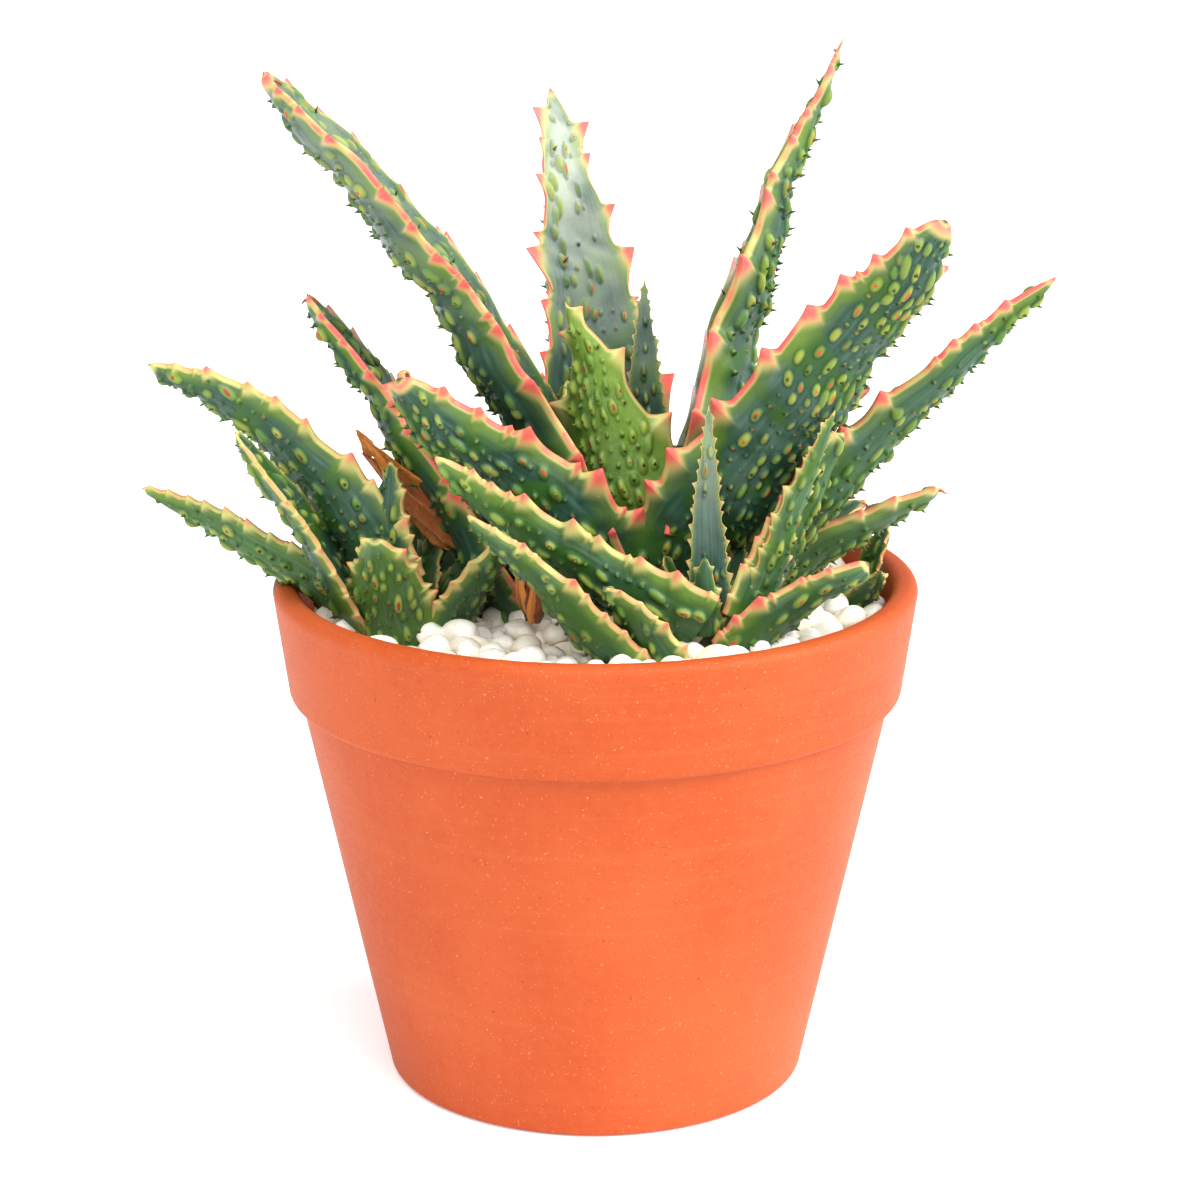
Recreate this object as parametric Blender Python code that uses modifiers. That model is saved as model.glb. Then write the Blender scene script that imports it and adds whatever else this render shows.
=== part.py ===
"""A potted aloe: terracotta pot, soil, pebble bed, stems and four clumps of toothed leaves.

Metres, +Z up. The origin is the centre of the pot's foot, on the surface it stands on.
The leaves are laid out by clump: each foot is worked out from its clump's middle, and each
blade from its direction, lean, bend, sweep, length and width.
"""

import itertools
import math

import bmesh
import bpy
from mathutils import Matrix, Vector
from mathutils.bvhtree import BVHTree

MM = 0.001
GAP = 0.35 * MM
WALL_GAP = 0.56 * MM
CUT_GAP = 0.49 * MM
MERGE_STEPS = (0.02 * MM, 0.05 * MM, 0.1 * MM, 0.2 * MM)
NUDGES = (0, 0.05 * MM, -0.05 * MM, 0.1 * MM, -0.1 * MM)
PINHOLE_AREA = 0.5 * MM * MM

# Driving sizes of the pot
RIM_RADIUS = 75.0 * MM
POT_HEIGHT = 120.0 * MM
BAND_HEIGHT = 27.0 * MM
BAND_STEP = 2.8 * MM
BAND_TAPER = 3.2 * MM
EDGE_ROUND = 2.0 * MM
FOOT_RADIUS = 49.5 * MM
WALL = 6.0 * MM
FLOOR = 7.0 * MM
DRAIN_RADIUS = 7.0 * MM
LIP_ROUND = 2.5 * MM
TURN_STEPS = 56

# Filling
BED_TOP = POT_HEIGHT - 8.5 * MM
BED_DEPTH = 9.0 * MM
STEM_ROOT = 14.0 * MM

# Leaf blade
STATIONS = 11
THICK_SHARE = 0.32
CHANNEL_SHARE = 0.12
EDGE_THICKNESS = 1.2 * MM
TIP_SHARE = 0.06

# Clump: middle x and y, stem radius and stem height above the bed, in mm
CLUMPS = {
    "main": (12, 0, 8, 22),
    "left": (-43, -13, 5, 5),
    "front": (25, -30, 5, 6),
    "right": (60, 6, 3, 3),
}

# Leaf: clump, distance out, height above the bed, direction, lean, bend, sweep, length, width, roll
# and taper, in millimetres and degrees. Direction 0 is +X and 90 is the back. A lean over 90 reaches
# back over the clump. A taper of 0.4 is a blunt blade and 0.8 an even point. Young inner leaves
# come first, because an older leaf is cut back where it meets a younger one.
LEAVES = {
    "leaf_heart_front": ("main", 2, 24, 205, 72, -5, 0, 54, 33, 55, 1.0),
    "leaf_heart_spear": ("main", 3, 28, 95, 85, 0, 0, 49, 12, 0, 0.8),
    "leaf_heart_left": ("main", 10, 18, 150, 74, -5, 0, 36, 20, 0, 0.55),
    "leaf_heart_right": ("main", 9, 20, 40, 64, -5, 0, 32, 18, -10, 0.55),
    "leaf_broad_right": ("main", 7, 14, 324, 54, -8, 0, 111, 36, -25, 0.4),
    "leaf_tall_right": ("main", 5, 22, 22, 78, -22, 0, 119, 46, -24, 1.05),
    "leaf_back": ("main", 11, 14, 120, 76, -10, 0, 108, 38, 0, 0.72),
    "leaf_tall_left": ("main", 8, 20, 198, 66, -27, 0, 136, 36, -12, 0.42),
    "leaf_broad_front": ("main", 3, 10, 212, 42, -4, 0, 81, 36, 25, 0.42),
    "leaf_long_right": ("main", 16, 5, 345, 52, -14, 0, 110, 27, -20, 0.62),
    "leaf_low_right": ("main", 18, 3, 357, 42, -30, 0, 57, 24, -20, 0.55),
    "leaf_mid_left": ("main", 27, 4, 190, 61, -12, 0, 89, 28, -8, 0.48),
    "leaf_back_right": ("main", 16, 4, 62, 44, -24, 0, 78, 28, 0, 0.55),
    "leaf_back_low": ("main", 17, 3, 95, 38, -24, 0, 66, 28, 0, 0.55),
    "leaf_back_left": ("main", 16, 3, 145, 32, -14, 0, 62, 28, 0, 0.55),
    "leaf_back_outer": ("main", 20, 1, 30, 30, -14, 0, 44, 22, 0, 0.55),
    "leaf_dark_right": ("main", 32, 1, 12, 48, -10, 0, 29, 9, 0, 0.55),
    "left_small": ("left", 4, 6, 50, 72, -6, 0, 21, 9, 0, 0.55),
    "left_back_up": ("left", 5, 5, 250, 84, 0, 0, 36, 13, -20, 0.55),
    "left_broad": ("left", 7, 1, 256, 66, -20, 0, 31, 22, 0, 0.5),
    "left_cross": ("left", 9, 1, 325, 60, -25, 0, 37, 16, 0, 0.55),
    "left_long": ("left", 3, 12, 188, 68, -54, 0, 77, 24, 35, 0.5),
    "left_front": ("left", 8, 1, 210, 62, -14, 0, 60, 17, -30, 0.55),
    "left_low": ("left", 13, 6, 168, 32, -16, 0, 55, 16, 45, 0.55),
    "left_back_low": ("left", 9, 2, 105, 40, -20, 0, 40, 15, 0, 0.55),
    "left_back_right": ("left", 8, 3, 70, 64, -10, 0, 40, 17, 0, 0.55),
    "front_small": ("front", 4, 5, 265, 80, 0, 0, 18, 8, 0, 0.55),
    "front_spear": ("front", -5, 4, 92, 86, 0, 0, 52, 11, 0, 0.8),
    "front_thin_right": ("front", 9, 2, 350, 74, -8, 0, 57, 9, -55, 0.6),
    "front_mid_right": ("front", 7, 7, 15, 64, -8, -20, 48, 19, -40, 0.55),
    "front_long": ("front", 3, 9, 196, 28, 12, 0, 71, 24, 30, 0.55),
    "front_curl": ("front", 14, 1, 225, 62, -35, 0, 27, 16, 0, 0.55),
    "front_low_right": ("front", 6, 1, 342, 46, -24, 0, 38, 17, -25, 0.36),
    "front_narrow": ("front", 20, 0, 212, 48, -10, 0, 57, 17, 10, 0.55),
    "front_bud_left": ("front", 2, 3, 150, 62, 0, 0, 19, 9, 0, 0.55),
    "front_bud_right": ("front", 8, 3, 60, 68, 0, 0, 22, 10, 0, 0.55),
    "left_inner": ("left", 6, 4, 10, 54, -10, 0, 34, 15, 0, 0.55),
    "right_up": ("right", 2, 1, 40, 66, -10, 0, 20, 9, 0, 0.6),
    "right_small": ("right", 3, 1, 175, 60, -10, 0, 13, 7, 0, 0.6),
    "right_low": ("right", 3, 1, 290, 44, -10, 0, 17, 10, 0, 0.6),
    "dry_leaf": ("left", 13, 19, 20, 128, 8, -30, 33, 8, 70, 0.6),
    "withered_offshoot": ("front", 36, 0, 172, 70, 30, 0, 13, 10, 0, 0.6),
}

COLOURS = {
    "clay": (0.80, 0.20, 0.06, 1.0),
    "earth": (0.05, 0.03, 0.02, 1.0),
    "stone": (0.86, 0.82, 0.74, 1.0),
    "leaf": (0.07, 0.16, 0.08, 1.0),
    "dry": (0.45, 0.16, 0.06, 1.0),
}
ROUGHNESS = {"clay": 0.8, "earth": 0.95, "stone": 0.6, "leaf": 0.45, "dry": 0.7}


def clear_scene():
    for item in list(bpy.data.objects):
        bpy.data.objects.remove(item, do_unlink=True)


def new_collection(name):
    group = bpy.data.collections.new(name)
    bpy.context.scene.collection.children.link(group)
    return group


def surface(name, kind):
    material = bpy.data.materials.new(name)
    material.use_nodes = True
    shader = material.node_tree.nodes["Principled BSDF"]
    shader.inputs["Base Color"].default_value = COLOURS[kind]
    shader.inputs["Roughness"].default_value = ROUGHNESS[kind]
    shader.inputs["Metallic"].default_value = 0.0
    return material


def add_object(name, mesh, group, kind):
    item = bpy.data.objects.new(name, mesh)
    item.data.materials.append(surface(name, kind))
    group.objects.link(item)
    return item


def mesh_from(form, name):
    bmesh.ops.recalc_face_normals(form, faces=form.faces)
    mesh = bpy.data.meshes.new(name)
    form.to_mesh(mesh)
    form.free()
    return mesh


def turned(name, profile, group, kind):
    """Turn a closed profile of (radius, height) pairs, all off the axis, once round Z."""
    form = bmesh.new()
    corners = [form.verts.new((radius, 0, height)) for radius, height in profile]
    for first, second in zip(corners, corners[1:] + corners[:1]):
        form.edges.new((first, second))
    mesh = bpy.data.meshes.new(name)
    form.to_mesh(mesh)
    form.free()
    item = add_object(name, mesh, group, kind)
    screw = item.modifiers.new("turn", "SCREW")
    screw.steps = TURN_STEPS
    screw.render_steps = TURN_STEPS
    screw.use_merge_vertices = True
    screw.merge_threshold = 0.00001
    return item


def arc(centre, radius, start, end, steps):
    """Points of a rounded corner, from one angle to another in degrees."""
    points = []
    for step in range(steps + 1):
        angle = math.radians(start + (end - start) * step / steps)
        points.append((centre[0] + radius * math.cos(angle), centre[1] + radius * math.sin(angle)))
    return points


def outer_radius(height):
    """Radius of the pot's tapered body below the band."""
    band_bottom = POT_HEIGHT - BAND_HEIGHT
    top = RIM_RADIUS - BAND_TAPER - BAND_STEP
    return FOOT_RADIUS + (top - FOOT_RADIUS) * height / band_bottom


def inner_radius(height):
    band_bottom = POT_HEIGHT - BAND_HEIGHT
    if height > band_bottom:
        share = (height - band_bottom) / BAND_HEIGHT
        return outer_radius(band_bottom) - WALL + share * (RIM_RADIUS - outer_radius(band_bottom))
    return outer_radius(height) - WALL


def make_pot(group):
    band_bottom = POT_HEIGHT - BAND_HEIGHT
    band_radius = RIM_RADIUS - BAND_TAPER
    lip = (RIM_RADIUS - LIP_ROUND, POT_HEIGHT - LIP_ROUND)
    profile = [(inner_radius(POT_HEIGHT) + LIP_ROUND, POT_HEIGHT)]
    profile += arc(lip, LIP_ROUND, 90, 0, 4)
    profile += arc((band_radius - EDGE_ROUND, band_bottom + EDGE_ROUND), EDGE_ROUND, 0, -90, 3)
    profile.append((outer_radius(band_bottom), band_bottom))
    profile += arc((outer_radius(0) - EDGE_ROUND, EDGE_ROUND), EDGE_ROUND, 0, -90, 2)
    profile += [(DRAIN_RADIUS, 0), (DRAIN_RADIUS, FLOOR)]
    profile += [(inner_radius(FLOOR), FLOOR), (inner_radius(band_bottom), band_bottom)]
    profile.append((inner_radius(POT_HEIGHT - LIP_ROUND), POT_HEIGHT - LIP_ROUND))
    return turned("pot", profile, group, "clay")


def make_disc(name, low, high, group, kind):
    """A tapered disc that fills the pot between two heights."""
    form = bmesh.new()
    bmesh.ops.create_cone(
        form,
        cap_ends=True,
        segments=TURN_STEPS,
        radius1=inner_radius(low) - WALL_GAP,
        radius2=inner_radius(high) - WALL_GAP,
        depth=high - low,
        matrix=Matrix.Translation((0, 0, (low + high) / 2)),
    )
    return add_object(name, mesh_from(form, name), group, kind)


def make_stem(clump, group):
    x, y, radius, height = CLUMPS[clump]
    low = BED_TOP - STEM_ROOT
    high = BED_TOP + height * MM
    form = bmesh.new()
    bmesh.ops.create_cone(
        form,
        cap_ends=True,
        segments=14,
        radius1=radius * MM,
        radius2=radius * MM * 0.5,
        depth=high - low,
        matrix=Matrix.Translation((x * MM, y * MM, (low + high) / 2)),
    )
    return add_object("stem_" + clump, mesh_from(form, "stem_" + clump), group, "leaf")


def blade_line(spec, steps):
    """Points and frames along a blade's middle, from its foot to its tip."""
    clump, out, height, direction, lean, bend, sweep, length = spec[:8]
    roll = spec[9]
    x, y = CLUMPS[clump][:2]
    turn = math.radians(direction)
    point = Vector((x + out * math.cos(turn), y + out * math.sin(turn), 0)) * MM
    point.z = BED_TOP + height * MM
    stations = []
    for step in range(steps + 1):
        share = step / steps
        pitch = math.radians(lean + bend * share)
        heading = math.radians(direction + sweep * share)
        level = Vector((math.cos(heading), math.sin(heading), 0))
        ahead = level * math.cos(pitch) + Vector((0, 0, math.sin(pitch)))
        flat_side = Vector((math.sin(heading), -math.cos(heading), 0))
        side = Matrix.Rotation(math.radians(roll), 3, ahead) @ flat_side
        stations.append((share, point.copy(), side, side.cross(ahead)))
        point += ahead * (length * MM / steps)
    return stations


def blade_section(width):
    """A crescent: a shallow channel above and a full belly below, between two thin edges."""
    half = width / 2
    edge = min(EDGE_THICKNESS, width * 0.3) / 2
    dip = width * CHANNEL_SHARE
    belly = width * THICK_SHARE + edge
    return [
        (-half, edge), (-half * 0.5, edge - dip * 0.75), (0, edge - dip), (half * 0.5, edge - dip * 0.75),
        (half, edge), (half, -edge), (half * 0.55, -belly * 0.75), (0, -belly),
        (-half * 0.55, -belly * 0.75), (-half, -edge),
    ]


def make_blade(name, spec):
    width = spec[8] * MM
    taper = spec[10]
    form = bmesh.new()
    rings = []
    for share, point, side, up in blade_line(spec, STATIONS):
        local = width * max(1 - share, TIP_SHARE) ** taper
        ring = [form.verts.new(point + side * s + up * n) for s, n in blade_section(local)]
        rings.append(ring)
    for low, high in zip(rings, rings[1:]):
        for index in range(len(low)):
            following = (index + 1) % len(low)
            form.faces.new((low[index], low[following], high[following], high[index]))
    form.faces.new(rings[0][::-1])
    form.faces.new(rings[-1])
    bmesh.ops.triangulate(form, faces=form.faces)
    return mesh_from(form, name)


def tree_of(item):
    graph = bpy.context.evaluated_depsgraph_get()
    form = bmesh.new()
    form.from_object(item, graph)
    tree = BVHTree.FromBMesh(form)
    form.free()
    return tree


def grown_copy(item, group):
    """A cutter a little larger than the item, so that the piece it cuts keeps a gap."""
    graph = bpy.context.evaluated_depsgraph_get()
    form = bmesh.new()
    form.from_object(item, graph)
    bmesh.ops.remove_doubles(form, verts=form.verts, dist=0.00001)
    form.normal_update()
    moves = [vertex.normal * CUT_GAP for vertex in form.verts]
    for vertex, move in zip(form.verts, moves):
        vertex.co += move
    cutter = bpy.data.objects.new(item.name + "_cutter", mesh_from(form, item.name + "_cutter"))
    cutter.hide_render = True
    cutter.display_type = "WIRE"
    group.objects.link(cutter)
    return cutter


def keep_largest(form):
    """Delete the crumbs that a cut leaves loose, or joined only at a corner."""
    left = set(form.faces)
    islands = []
    while left:
        todo = [left.pop()]
        island = set(todo)
        while todo:
            for edge in todo.pop().edges:
                for face in edge.link_faces:
                    if face in left:
                        left.remove(face)
                        island.add(face)
                        todo.append(face)
        islands.append(island)
    biggest = max(islands, key=len)
    loose = [face for face in form.faces if face not in biggest]
    bmesh.ops.delete(form, geom=loose, context="FACES")


def tidy(form, merge):
    """Weld the slivers of a cut, drop crumbs and close any pinhole."""
    bmesh.ops.remove_doubles(form, verts=form.verts, dist=merge)
    bmesh.ops.dissolve_degenerate(form, edges=form.edges, dist=merge)
    keep_largest(form)
    crowded = [edge for edge in form.edges if len(edge.link_faces) > 2]
    faces = [face for edge in crowded for face in edge.link_faces if face.calc_area() < PINHOLE_AREA]
    bmesh.ops.delete(form, geom=list(set(faces)), context="FACES")
    bmesh.ops.holes_fill(form, edges=[edge for edge in form.edges if edge.is_boundary], sides=0)
    bmesh.ops.triangulate(form, faces=form.faces)


def is_closed(form):
    return all(len(edge.link_faces) == 2 and edge.is_contiguous for edge in form.edges)


def subtract(item, cutter, nudge, merge):
    """The item's mesh with the cutter taken out of it."""
    cutter.location = (nudge, nudge * 0.6, nudge * 0.8)
    tool = item.modifiers.new("cut", "BOOLEAN")
    tool.operation = "DIFFERENCE"
    tool.solver = "EXACT"
    tool.object = cutter
    graph = bpy.context.evaluated_depsgraph_get()
    form = bmesh.new()
    form.from_object(item, graph)
    item.modifiers.clear()
    cutter.location = (0, 0, 0)
    tidy(form, merge)
    return form


def cut(item, cutters):
    """Take each cutter out of the item in turn. A cut that leaves an open edge is tried again
    with a coarser weld, or with the cutter moved a hair."""
    for cutter in cutters:
        for nudge, merge in itertools.product(NUDGES, MERGE_STEPS):
            form = subtract(item, cutter, nudge, merge)
            if is_closed(form):
                break
            form.free()
        else:
            raise RuntimeError(item.name + " stays open after " + cutter.name)
        form.to_mesh(item.data)
        form.free()
        item.data.update()


def make_plant():
    clear_scene()
    plant = new_collection("potted_aloe")
    tools = new_collection("cutters")
    make_pot(plant)
    make_disc("soil", FLOOR + GAP, BED_TOP - BED_DEPTH - GAP, plant, "earth")
    make_disc("pebble_bed", BED_TOP - BED_DEPTH, BED_TOP, plant, "stone")
    stems = [make_stem(clump, plant) for clump in CLUMPS]
    bpy.context.view_layer.update()
    stem_cutters = [grown_copy(stem, tools) for stem in stems]
    cut(bpy.data.objects["soil"], stem_cutters)
    cut(bpy.data.objects["pebble_bed"], stem_cutters)
    placed = [bpy.data.objects["pot"], bpy.data.objects["pebble_bed"]] + stems
    cutters = [grown_copy(item, tools) for item in placed]
    for name, spec in LEAVES.items():
        kind = "dry" if name in ("dry_leaf", "withered_offshoot") else "leaf"
        item = add_object(name, make_blade(name, spec), plant, kind)
        bpy.context.view_layer.update()
        own = tree_of(item)
        hits = [tool for tool in cutters if tree_of(tool).overlap(own)]
        cutters.append(grown_copy(item, tools))
        cut(item, hits)
    for item in plant.objects:
        item.data.shade_smooth()
        item.data.set_sharp_from_angle(angle=math.radians(40))


make_plant()
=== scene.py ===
import math
import bpy
import bmesh
import numpy as np
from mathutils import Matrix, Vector


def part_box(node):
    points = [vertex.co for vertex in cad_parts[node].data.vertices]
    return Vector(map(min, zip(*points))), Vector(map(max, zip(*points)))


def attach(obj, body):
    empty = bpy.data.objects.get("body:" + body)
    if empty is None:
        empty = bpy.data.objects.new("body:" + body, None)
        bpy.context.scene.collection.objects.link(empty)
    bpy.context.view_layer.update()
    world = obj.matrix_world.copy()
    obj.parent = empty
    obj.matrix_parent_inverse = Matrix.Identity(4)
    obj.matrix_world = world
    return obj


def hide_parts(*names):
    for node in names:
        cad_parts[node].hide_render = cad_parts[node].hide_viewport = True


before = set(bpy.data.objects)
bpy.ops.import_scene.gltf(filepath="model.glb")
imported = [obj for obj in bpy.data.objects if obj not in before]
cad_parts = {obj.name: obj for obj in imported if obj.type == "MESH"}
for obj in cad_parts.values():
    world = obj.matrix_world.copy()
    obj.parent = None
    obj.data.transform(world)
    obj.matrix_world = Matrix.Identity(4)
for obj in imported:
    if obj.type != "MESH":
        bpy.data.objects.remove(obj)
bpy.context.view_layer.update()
mm = 0.001

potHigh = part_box("pot")[1]
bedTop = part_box("pebble_bed")[1].z
rimRadius = potHigh.x
rimHeight = potHigh.z

# middle of each clump of leaves, in mm from the pot's axis
clumps = {"main": (12, 0), "left": (-43, -13), "front": (25, -30), "right": (60, 6)}

# clump, out, height over the bed, direction, lean, bend, sweep, length, width, roll
leafRows = {
    "leaf_heart_front": ("main", 2, 24, 205, 72, -5, 0, 54, 33, 55),
    "leaf_heart_spear": ("main", 3, 28, 95, 85, 0, 0, 49, 12, 0),
    "leaf_heart_left": ("main", 10, 18, 150, 74, -5, 0, 36, 20, 0),
    "leaf_heart_right": ("main", 9, 20, 40, 64, -5, 0, 32, 18, -10),
    "leaf_broad_right": ("main", 7, 14, 324, 54, -8, 0, 111, 36, -25),
    "leaf_tall_right": ("main", 5, 22, 22, 78, -22, 0, 119, 46, -24),
    "leaf_back": ("main", 11, 14, 120, 76, -10, 0, 108, 38, 0),
    "leaf_tall_left": ("main", 8, 20, 198, 66, -27, 0, 136, 36, -12),
    "leaf_broad_front": ("main", 3, 10, 212, 42, -4, 0, 81, 36, 25),
    "leaf_long_right": ("main", 16, 5, 345, 52, -14, 0, 110, 27, -20),
    "leaf_low_right": ("main", 18, 3, 357, 42, -30, 0, 57, 24, -20),
    "leaf_mid_left": ("main", 27, 4, 190, 61, -12, 0, 89, 28, -8),
    "leaf_back_right": ("main", 16, 4, 62, 44, -24, 0, 78, 28, 0),
    "leaf_back_low": ("main", 17, 3, 95, 38, -24, 0, 66, 28, 0),
    "leaf_back_left": ("main", 16, 3, 145, 32, -14, 0, 62, 28, 0),
    "leaf_back_outer": ("main", 20, 1, 30, 30, -14, 0, 44, 22, 0),
    "leaf_dark_right": ("main", 32, 1, 12, 48, -10, 0, 29, 9, 0),
    "left_small": ("left", 4, 6, 50, 72, -6, 0, 21, 9, 0),
    "left_back_up": ("left", 5, 5, 250, 84, 0, 0, 36, 13, -20),
    "left_broad": ("left", 7, 1, 256, 66, -20, 0, 31, 22, 0),
    "left_cross": ("left", 9, 1, 325, 60, -25, 0, 37, 16, 0),
    "left_long": ("left", 3, 12, 188, 68, -54, 0, 77, 24, 35),
    "left_front": ("left", 8, 1, 210, 62, -14, 0, 60, 17, -30),
    "left_low": ("left", 13, 6, 168, 32, -16, 0, 55, 16, 45),
    "left_back_low": ("left", 9, 2, 105, 40, -20, 0, 40, 15, 0),
    "left_back_right": ("left", 8, 3, 70, 64, -10, 0, 40, 17, 0),
    "front_small": ("front", 4, 5, 265, 80, 0, 0, 18, 8, 0),
    "front_spear": ("front", -5, 4, 92, 86, 0, 0, 52, 11, 0),
    "front_thin_right": ("front", 9, 2, 350, 74, -8, 0, 57, 9, -55),
    "front_mid_right": ("front", 7, 7, 15, 64, -8, -20, 48, 19, -40),
    "front_long": ("front", 3, 9, 196, 28, 12, 0, 71, 24, 30),
    "front_curl": ("front", 14, 1, 225, 62, -35, 0, 27, 16, 0),
    "front_low_right": ("front", 6, 1, 342, 46, -24, 0, 38, 17, -25),
    "front_narrow": ("front", 20, 0, 212, 48, -10, 0, 57, 17, 10),
    "front_bud_left": ("front", 2, 3, 150, 62, 0, 0, 19, 9, 0),
    "front_bud_right": ("front", 8, 3, 60, 68, 0, 0, 22, 10, 0),
    "left_inner": ("left", 6, 4, 10, 54, -10, 0, 34, 15, 0),
    "right_up": ("right", 2, 1, 40, 66, -10, 0, 20, 9, 0),
    "right_small": ("right", 3, 1, 175, 60, -10, 0, 13, 7, 0),
    "right_low": ("right", 3, 1, 290, 44, -10, 0, 17, 10, 0),
}
dryRows = {
    "dry_leaf": ("left", 13, 19, 20, 128, 8, -30, 33, 8, 70),
    "withered_offshoot": ("front", 36, 0, 172, 70, 30, 0, 13, 10, 0),
}

# youth: pale new growth; green: less blue in the skin; blush: coral on the teeth
# frost: pale bloom towards the tip; warts: share of spots filled; teeth: their size
# taper: 0.4 is a blunt blade and 0.8 an even point
plainLook = {"taper": 0.55, "frost": 0.0}
clumpLook = {
    "main": {"youth": 0.0, "green": 0.25, "blush": 1.0, "warts": 0.85, "teeth": 1.3},
    "left": {"youth": 0.06, "green": 0.55, "blush": 0.35, "warts": 0.9, "teeth": 1.15},
    "front": {"youth": 0.04, "green": 0.5, "blush": 0.5, "warts": 0.8, "teeth": 1.25},
    "right": {"youth": 0.08, "green": 0.4, "blush": 0.6, "warts": 0.7, "teeth": 1.0, "taper": 0.6},
}
leafLook = {
    "leaf_heart_front": {"youth": 0.7, "blush": 0.3, "warts": 1.0, "taper": 1.0},
    "leaf_heart_left": {"youth": 0.75, "blush": 0.1, "warts": 1.0},
    "leaf_heart_right": {"youth": 0.55, "blush": 0.3},
    "leaf_heart_spear": {"green": 0.0, "frost": 0.25, "blush": 0.8, "teeth": 0.8, "taper": 0.8},
    "leaf_tall_left": {"taper": 0.42, "frost": 0.2},
    "leaf_tall_right": {"taper": 1.05},
    "leaf_back": {"green": 0.0, "taper": 0.72, "frost": 0.6},
    "leaf_broad_right": {"taper": 0.40, "warts": 1.0},
    "leaf_broad_front": {"taper": 0.42, "warts": 1.0},
    "leaf_mid_left": {"green": 0.3, "taper": 0.48},
    "leaf_long_right": {"green": 0.5, "taper": 0.62},
    "leaf_low_right": {"youth": 0.12, "green": 0.5, "blush": 0.6},
    "leaf_dark_right": {"green": 0.0, "blush": 0.2, "warts": 0.3, "teeth": 0.6},
    "left_broad": {"youth": 0.2, "green": 0.6, "warts": 1.0, "taper": 0.5},
    "left_long": {"green": 0.1, "warts": 1.0, "taper": 0.5},
    "left_low": {"youth": 0.12, "green": 0.8},
    "left_front": {"green": 0.1},
    "left_back_up": {"green": 0.0},
    "front_spear": {"youth": 0.0, "green": 0.0, "frost": 0.3, "blush": 0.8, "teeth": 0.8, "taper": 0.8},
    "front_thin_right": {"youth": 0.15, "taper": 0.6},
    "front_low_right": {"blush": 0.9, "taper": 0.36},
}


def setInput(node, name, value):
    node.inputs[name].default_value = value


def link(tree, source, target):
    tree.links.new(source, target)


def attribute(tree, name):
    node = tree.nodes.new("ShaderNodeAttribute")
    node.attribute_name = name
    return node.outputs["Fac"]


def ramp(tree, source, low, high, outLow=0.0, outHigh=1.0):
    node = tree.nodes.new("ShaderNodeMapRange")
    node.interpolation_type = "SMOOTHSTEP"
    setInput(node, "From Min", low)
    setInput(node, "From Max", high)
    setInput(node, "To Min", outLow)
    setInput(node, "To Max", outHigh)
    link(tree, source, node.inputs["Value"])
    return node.outputs["Result"]


def maths(tree, kind, first, second):
    node = tree.nodes.new("ShaderNodeMath")
    node.operation = kind
    for socket, value in zip(node.inputs, (first, second)):
        if isinstance(value, (int, float)):
            socket.default_value = value
        else:
            link(tree, value, socket)
    return node.outputs[0]


def mixColour(tree, factor, first, second):
    node = tree.nodes.new("ShaderNodeMix")
    node.data_type = "RGBA"
    for socket, value in ((node.inputs[0], factor), (node.inputs[6], first), (node.inputs[7], second)):
        if isinstance(value, (int, float)):
            socket.default_value = value
        elif isinstance(value, tuple):
            socket.default_value = (*value, 1.0)
        else:
            link(tree, value, socket)
    return node.outputs[2]


def noise(tree, scale, detail=4.0, stretch=None):
    coords = tree.nodes.new("ShaderNodeTexCoord")
    source = coords.outputs["Object"]
    if stretch:
        mapping = tree.nodes.new("ShaderNodeMapping")
        setInput(mapping, "Scale", stretch)
        link(tree, source, mapping.inputs["Vector"])
        source = mapping.outputs["Vector"]
    node = tree.nodes.new("ShaderNodeTexNoise")
    setInput(node, "Scale", scale)
    setInput(node, "Detail", detail)
    link(tree, source, node.inputs["Vector"])
    return node.outputs["Fac"]


def newMaterial(name):
    material = bpy.data.materials.new(name)
    material.use_nodes = True
    tree = material.node_tree
    return material, tree, tree.nodes["Principled BSDF"]


def useBump(tree, shader, height, strength, distance):
    node = tree.nodes.new("ShaderNodeBump")
    setInput(node, "Strength", strength)
    setInput(node, "Distance", distance)
    link(tree, height, node.inputs["Height"])
    link(tree, node.outputs["Normal"], shader.inputs["Normal"])


# mottle: a slow cloud and a fine grain, for every natural surface here
def makeMottleGroup():
    group = bpy.data.node_groups.new("mottle", "ShaderNodeTree")
    face = group.interface
    for name, value in (("Cloud Scale", 60.0), ("Grain Scale", 900.0)):
        socket = face.new_socket(name, in_out="INPUT", socket_type="NodeSocketFloat")
        socket.default_value = value
    for name in ("Cloud", "Grain"):
        face.new_socket(name, in_out="OUTPUT", socket_type="NodeSocketFloat")
    start = group.nodes.new("NodeGroupInput")
    end = group.nodes.new("NodeGroupOutput")
    coords = group.nodes.new("ShaderNodeTexCoord")
    for name, detail in (("Cloud", 4.0), ("Grain", 3.0)):
        node = group.nodes.new("ShaderNodeTexNoise")
        setInput(node, "Detail", detail)
        group.links.new(coords.outputs["Object"], node.inputs["Vector"])
        group.links.new(start.outputs[name + " Scale"], node.inputs["Scale"])
        group.links.new(node.outputs["Fac"], end.inputs[name])
    return group


mottleGroup = makeMottleGroup()


def mottle(tree, cloudScale, grainScale):
    node = tree.nodes.new("ShaderNodeGroup")
    node.node_tree = mottleGroup
    setInput(node, "Cloud Scale", cloudScale)
    setInput(node, "Grain Scale", grainScale)
    return node.outputs["Cloud"], node.outputs["Grain"]


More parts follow.
